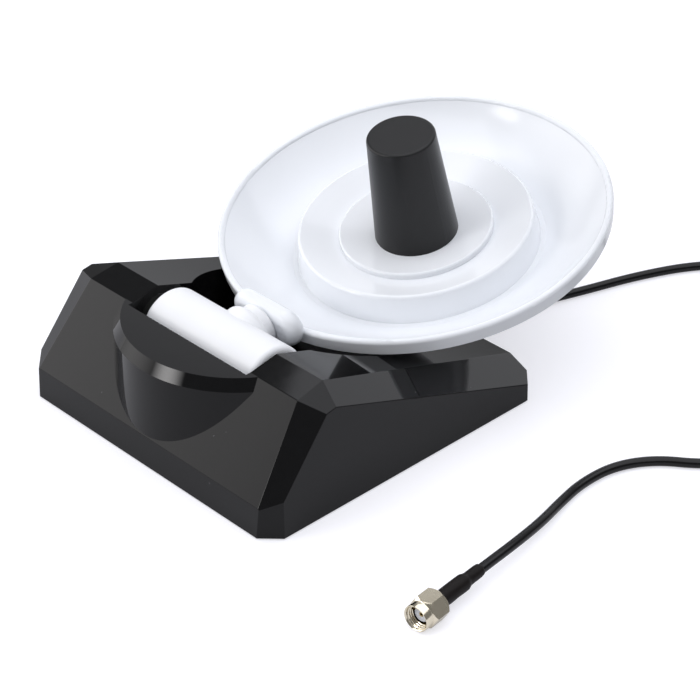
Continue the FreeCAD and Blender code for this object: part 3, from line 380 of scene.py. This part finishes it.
# Plug nut and ferrule: turned and milled brass with a thin nickel plate that has yellowed to a
# champagne tint. The tool's lines run round the collar and across the flats, and the mouth has a
# thread cut into its wall.
NICKEL_DARK = (0.74, 0.67, 0.52)
NICKEL_PALE = (0.84, 0.77, 0.62)
ACROSS_FLATS = 8.0
HEXAGON_CORNER = ACROSS_FLATS / 2 / math.cos(math.radians(30))
BAR_LENGTH = 9.4
NUT_LENGTH = 8.9
NUT_PROFILE = [
    (3.20, 0.36), (3.44, 0.06), (3.54, 0.0), (3.66, 0.03), (3.75, 0.16), (3.75, 2.46),
    (3.82, 2.50), (4.70, 3.72), (4.70, 7.75), (3.72, NUT_LENGTH), (1.95, NUT_LENGTH),
    (1.95, 6.30), (3.40, 6.30), (3.40, 2.80), (3.20, 2.80),
]

nickel, surface, at = new_finish("champagne_nickel", metallic=1.0)
on_plug = at.node("ShaderNodeMapping", {"vector_type": "TEXTURE"}, {
    "Vector": at, "Location": PLUG_FRONT, "Rotation": (0, 0, PLUG_TURN)})
tool_lines = on_plug.squeezed(1.0, 10.0, 1.0).noise(scale=500.0, detail=3.0)
tarnish = at.noise(scale=300.0, detail=3.0)
feed(surface,
     base_color=tarnish.blend(NICKEL_DARK, NICKEL_PALE),
     roughness=0.13 + 0.10 * tool_lines,
     normal=tool_lines.bump(depth=0.000003))
dress(nickel, "crimp_ferrule")

bpy.ops.object.select_all(action="DESELECT")
bpy.ops.mesh.primitive_cylinder_add(
    vertices=6, radius=HEXAGON_CORNER * MILLIMETRE, depth=BAR_LENGTH * MILLIMETRE,
    location=(0, 0, NUT_LENGTH / 2 * MILLIMETRE), rotation=(0, 0, math.radians(30)))
hexagon_bar = bpy.context.object
nut = turned("hexagon_nut", NUT_PROFILE, sides=96)
milled = nut.modifiers.new("milled", "BOOLEAN")
milled.operation = "INTERSECT"
milled.solver = "EXACT"
milled.object = hexagon_bar
bpy.ops.object.modifier_apply(modifier="milled")
bpy.data.objects.remove(hexagon_bar)
lay_on_plug(nut, nickel, "nut")
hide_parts("plug_nut")

RIDGE_ROOT = 3.24
RIDGE_CREST = 2.88
RIDGE_WIDTH = 0.56
CREST_SHARE = 0.15
THREAD_START = 0.70
THREAD_PITCH = 0.74
TURNS_IN_SWEEP = 1.25
SWEEPS = 2
STEPS_IN_SWEEP = 60
ridge_middle = (RIDGE_ROOT + RIDGE_CREST) / 2 * MILLIMETRE
ridge_start = THREAD_START * MILLIMETRE
bpy.ops.object.select_all(action="DESELECT")
bpy.ops.mesh.primitive_plane_add(
    size=MILLIMETRE, rotation=(math.radians(90), 0, 0), location=(ridge_middle, 0, ridge_start))
thread = bpy.context.object
thread.name = "nut_thread"
bpy.ops.object.transform_apply(location=True, rotation=True, scale=True)
bpy.ops.object.mode_set(mode="EDIT")
bpy.ops.mesh.select_all(action="SELECT")
bpy.ops.transform.resize(
    value=(RIDGE_ROOT - RIDGE_CREST, 1, RIDGE_WIDTH),
    center_override=(ridge_middle, 0, ridge_start))
bpy.ops.mesh.delete(type="ONLY_FACE")
bpy.ops.mesh.select_mode(type="VERT")
bpy.ops.mesh.select_all(action="DESELECT")
bpy.ops.object.mode_set(mode="OBJECT")
for corner in thread.data.vertices:
    corner.select = corner.co.x < ridge_middle
bpy.ops.object.mode_set(mode="EDIT")
bpy.ops.transform.resize(value=(1, 1, CREST_SHARE), center_override=(0, 0, ridge_start))
bpy.ops.object.mode_set(mode="OBJECT")
winding = thread.modifiers.new("winding", "SCREW")
winding.axis = "Z"
winding.angle = TURNS_IN_SWEEP * 2 * math.pi
winding.iterations = SWEEPS
winding.screw_offset = TURNS_IN_SWEEP * THREAD_PITCH * MILLIMETRE
winding.steps = winding.render_steps = STEPS_IN_SWEEP
bpy.ops.object.modifier_apply(modifier="winding")
bpy.ops.object.mode_set(mode="EDIT")
bpy.ops.mesh.select_all(action="SELECT")
bpy.ops.mesh.fill_holes(sides=0)
close_up()
lay_on_plug(thread, nickel, "nut")


# Plug body and contact: turned brass, gilded where it touches the socket. The body carries the
# nut and is crimped to the cord's braid, and the contact is a small tube soldered to the cord's
# middle wire.
BRASS_DARK = (0.52, 0.38, 0.16)
BRASS_PALE = (0.70, 0.54, 0.26)
CONTACT_PROFILE = [
    (0.42, 2.42), (0.50, 2.32), (0.60, 2.32), (0.65, 2.37), (0.65, 11.0), (0.10, 11.0),
    (0.10, 8.0), (0.42, 7.6),
]
brass, surface, at = new_finish("turned_brass", metallic=1.0)
tarnish = at.noise(scale=600.0, detail=3.0)
feed(surface,
     base_color=tarnish.blend(BRASS_DARK, BRASS_PALE),
     roughness=0.24 + 0.16 * tarnish)
dress(brass, "plug_body")
contact = turned("plug_contact_tube", CONTACT_PROFILE, sides=32)
lay_on_plug(contact, brass, "base")
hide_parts("plug_contact")


# Insulator: a bluish white fluoroplastic bead, turned to fill the plug's mouth round the contact
# and pushed into the body from the front, with a plain hole down its middle.
BEAD_DARK = (0.72, 0.75, 0.80)
BEAD_PALE = (0.82, 0.85, 0.90)
INSULATOR_PROFILE = [
    (0.66, 2.30), (2.02, 2.30), (2.09, 2.37), (2.09, 5.05), (1.20, 5.05), (1.20, 11.0),
    (0.66, 11.0),
]
insulator_white, surface, at = new_finish("white_fluoroplastic", specular_ior_level=0.4)
milky = at.noise(scale=800.0, detail=3.0)
feed(surface,
     base_color=milky.blend(BEAD_DARK, BEAD_PALE),
     roughness=0.35 + 0.15 * milky)
insulator = turned("plug_insulator", INSULATOR_PROFILE, sides=48)
lay_on_plug(insulator, insulator_white, "base")
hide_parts("plug_dielectric")


# Coaxial cord: a thin round lead in a smooth black extruded jacket, which leaves the grommet at
# the back, lies on the desk, is wound into one tied coil and comes forward to the plug.
JACKET_DARK = (0.0022, 0.0022, 0.0025)
JACKET_PALE = (0.0045, 0.0045, 0.005)
CORD_RADIUS = 0.0014
CORD_EXIT = (0.016, 0.0545, 0.005)
BACK_RUN = [
    CORD_EXIT, (0.016, 0.0661, 0.005), (0.0169, 0.0781, 0.0034), (0.0193, 0.0905, 0.0016),
    (0.0238, 0.1045, 0.0014), (0.0293, 0.1225, 0.0014), (0.0372, 0.140, 0.0014),
    (0.0485, 0.153, 0.0014), (0.063, 0.156, 0.0014), (0.077, 0.148, 0.0014),
    (0.086, 0.135, 0.0014),
]
FRONT_RUN = [
    (0.113, 0.098, 0.003), (0.1164, 0.082, 0.0014), (0.115, 0.068, 0.0014),
    (0.1076, 0.0576, 0.0014), (0.0972, 0.050, 0.0014), (0.0912, 0.0395, 0.0014),
    (0.0903, 0.027, 0.0014), (0.0925, 0.0155, 0.0016), (0.0956, 0.005, 0.0027),
    (0.0980406, -0.0075985, 0.0038), (0.0995043, -0.022527, 0.004),
    (0.1010217, -0.0380027, 0.004),
]
COIL_CENTRE = (0.0935, 0.113, 0.0052)
COIL_RADIUS = 0.0162
STRAND_RADIUS = 0.003284
COIL_STEPS = 75
STEPS_PER_TURN = 12
COIL_START = math.radians(80)
FIRST_STRAND = math.radians(-40)
STRAND_STEP = math.radians(360 / 7)
CONTROL_SWELL = 1 / math.cos(math.pi / STEPS_PER_TURN)

coil_turns = []
for step in range(COIL_STEPS + 1):
    turn = step / STEPS_PER_TURN
    angle = COIL_START - turn * 2 * math.pi
    strand = FIRST_STRAND - turn * STRAND_STEP
    reach = (COIL_RADIUS + STRAND_RADIUS * math.cos(strand)) * CONTROL_SWELL
    coil_turns.append((COIL_CENTRE[0] + reach * math.cos(angle),
                       COIL_CENTRE[1] + reach * math.sin(angle),
                       COIL_CENTRE[2] + STRAND_RADIUS * math.sin(strand)))

route = BACK_RUN + coil_turns + FRONT_RUN
cord_curve = bpy.data.curves.new("coaxial_cord", "CURVE")
cord_curve.dimensions = "3D"
cord_curve.bevel_depth = CORD_RADIUS
cord_curve.bevel_resolution = 6
cord_curve.use_fill_caps = True
cord_line = cord_curve.splines.new("NURBS")
cord_line.points.add(len(route) - 1)
for point, place in zip(cord_line.points, route):
    point.co = (*place, 1.0)
cord_line.order_u = 3
cord_line.use_endpoint_u = True
cord_line.resolution_u = 10
cord = bpy.data.objects.new("coaxial_cord", cord_curve)
bpy.context.scene.collection.objects.link(cord)

jacket, surface, at = new_finish("black_cord_jacket", specular_ior_level=0.3)
scuff = at.noise(scale=900.0, detail=4.0)
feed(surface,
     base_color=scuff.blend(JACKET_DARK, JACKET_PALE),
     roughness=0.14 + 0.12 * at.noise(scale=250.0, detail=3.0),
     normal=scuff.bump(depth=0.000012))
cord_curve.materials.append(jacket)
dress(jacket, "inner_lead")
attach(cord, "base")
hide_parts("cord_back", "cord_coil", "cord_front")


# Floor: plain white paper that runs on out of sight. It takes the soft shadows, and what the
# camera or a reflection sees of it is lifted to white, and more so where the lamps fall off.
PAPER_WIDTH = 40.0
PAPER_DARK = (0.55, 0.55, 0.57)
PAPER_PALE = (0.58, 0.58, 0.60)
NO_LIFT = (0.0, 0.0, 0.0)
NEAR_LIFT = (0.535, 0.535, 0.56)
FAR_LIFT = (1.0, 1.0, 1.0)
LAMPS_FALL_OFF = 0.4
LAMPS_GONE = 1.6
REFLECTED_SHARE = 0.4

bpy.ops.object.select_all(action="DESELECT")
bpy.ops.mesh.primitive_plane_add(size=PAPER_WIDTH, location=(0, 0, 0))
floor = bpy.context.object
floor.name = "floor"
paper, surface, at = new_finish(
    "white_paper", roughness=0.9, specular_ior_level=0.0, emission_strength=1.0)
fibre = at.noise(scale=700.0, detail=3.0)
away = at.node("ShaderNodeVectorMath", {"operation": "LENGTH"}, {0: at}, output="Value")
far_off = at.node("ShaderNodeMapRange", None, {
    "Value": away, "From Min": LAMPS_FALL_OFF, "From Max": LAMPS_GONE})
seen = (at.node("ShaderNodeLightPath", output="Is Camera Ray")
        + REFLECTED_SHARE * at.node("ShaderNodeLightPath", output="Is Glossy Ray")
        + at.node("ShaderNodeLightPath", output="Is Transmission Ray"))
feed(surface,
     base_color=fibre.blend(PAPER_DARK, PAPER_PALE),
     emission_color=seen.blend(NO_LIFT, far_off.blend(NEAR_LIFT, FAR_LIFT)))
floor.data.materials.append(paper)


# Light: a big soft box on the left and in front, a wide one overhead, a pale panel behind and two
# small boxes in front, in a dim room, so that the camera's side stays dark in the black. The
# smallest box makes the clear highlight in the dish's bowl.
WARM_WHITE = (1.0, 0.985, 0.985)
COOL_WHITE = (0.97, 0.98, 1.03)
ROOM_WHITE = (0.97, 0.98, 1.0, 1.0)
ROOM_STRENGTH = 0.22
ANTENNA_MIDDLE = (0.02, 0.03, 0.03)


def soft_box(name, place, width, height, power, tint, soft_edge=True):
    """A rectangular lamp turned towards the antenna, which may fade towards its edges."""
    lamp = bpy.data.lights.new(name, "AREA")
    lamp.shape = "RECTANGLE"
    lamp.size = width
    lamp.size_y = height
    lamp.energy = power
    lamp.color = tint
    if soft_edge:
        lamp.use_nodes = True
        spot = Wire(lamp.node_tree.nodes.new("ShaderNodeNewGeometry").outputs["Parametric"])
        across = spot.node("ShaderNodeSeparateXYZ", None, {"Vector": spot}, output="X")
        up = spot.node("ShaderNodeSeparateXYZ", None, {"Vector": spot}, output="Y")
        full_in_the_middle = 16
        fade = full_in_the_middle * across * (1 - across) * up * (1 - up)
        feed(lamp.node_tree.nodes["Emission"].inputs, strength=fade)
    holder = bpy.data.objects.new(name, lamp)
    holder.location = place
    reach = [to - start for to, start in zip(ANTENNA_MIDDLE, place)]
    holder.rotation_euler = (math.atan2(math.hypot(reach[0], reach[1]), -reach[2]), 0,
                             math.atan2(-reach[0], reach[1]))
    bpy.context.scene.collection.objects.link(holder)


soft_box("left_front_box", place=(-1.25, -0.65, 0.5), width=1.9, height=1.2, power=20.3,
         tint=WARM_WHITE)
soft_box("overhead_box", place=(0.2, 0.1, 1.4), width=2.4, height=2.4, power=27.5,
         tint=COOL_WHITE, soft_edge=False)
soft_box("back_panel", place=(-0.6, 1.4, 0.65), width=3.0, height=1.3, power=14.7,
         tint=COOL_WHITE)
soft_box("front_box", place=(-0.45, -1.33, 0.57), width=0.75, height=0.35, power=10.2,
         tint=WARM_WHITE)
soft_box("small_front_box", place=(-0.5, -1.14, 0.88), width=0.34, height=0.2, power=1.4,
         tint=WARM_WHITE, soft_edge=False)

room = bpy.data.worlds.new("dim_room")
room.use_nodes = True
room_light = room.node_tree.nodes["Background"].inputs
room_light["Color"].default_value = ROOM_WHITE
room_light["Strength"].default_value = ROOM_STRENGTH
bpy.context.scene.world = room
bpy.context.scene.view_settings.view_transform = "Standard"
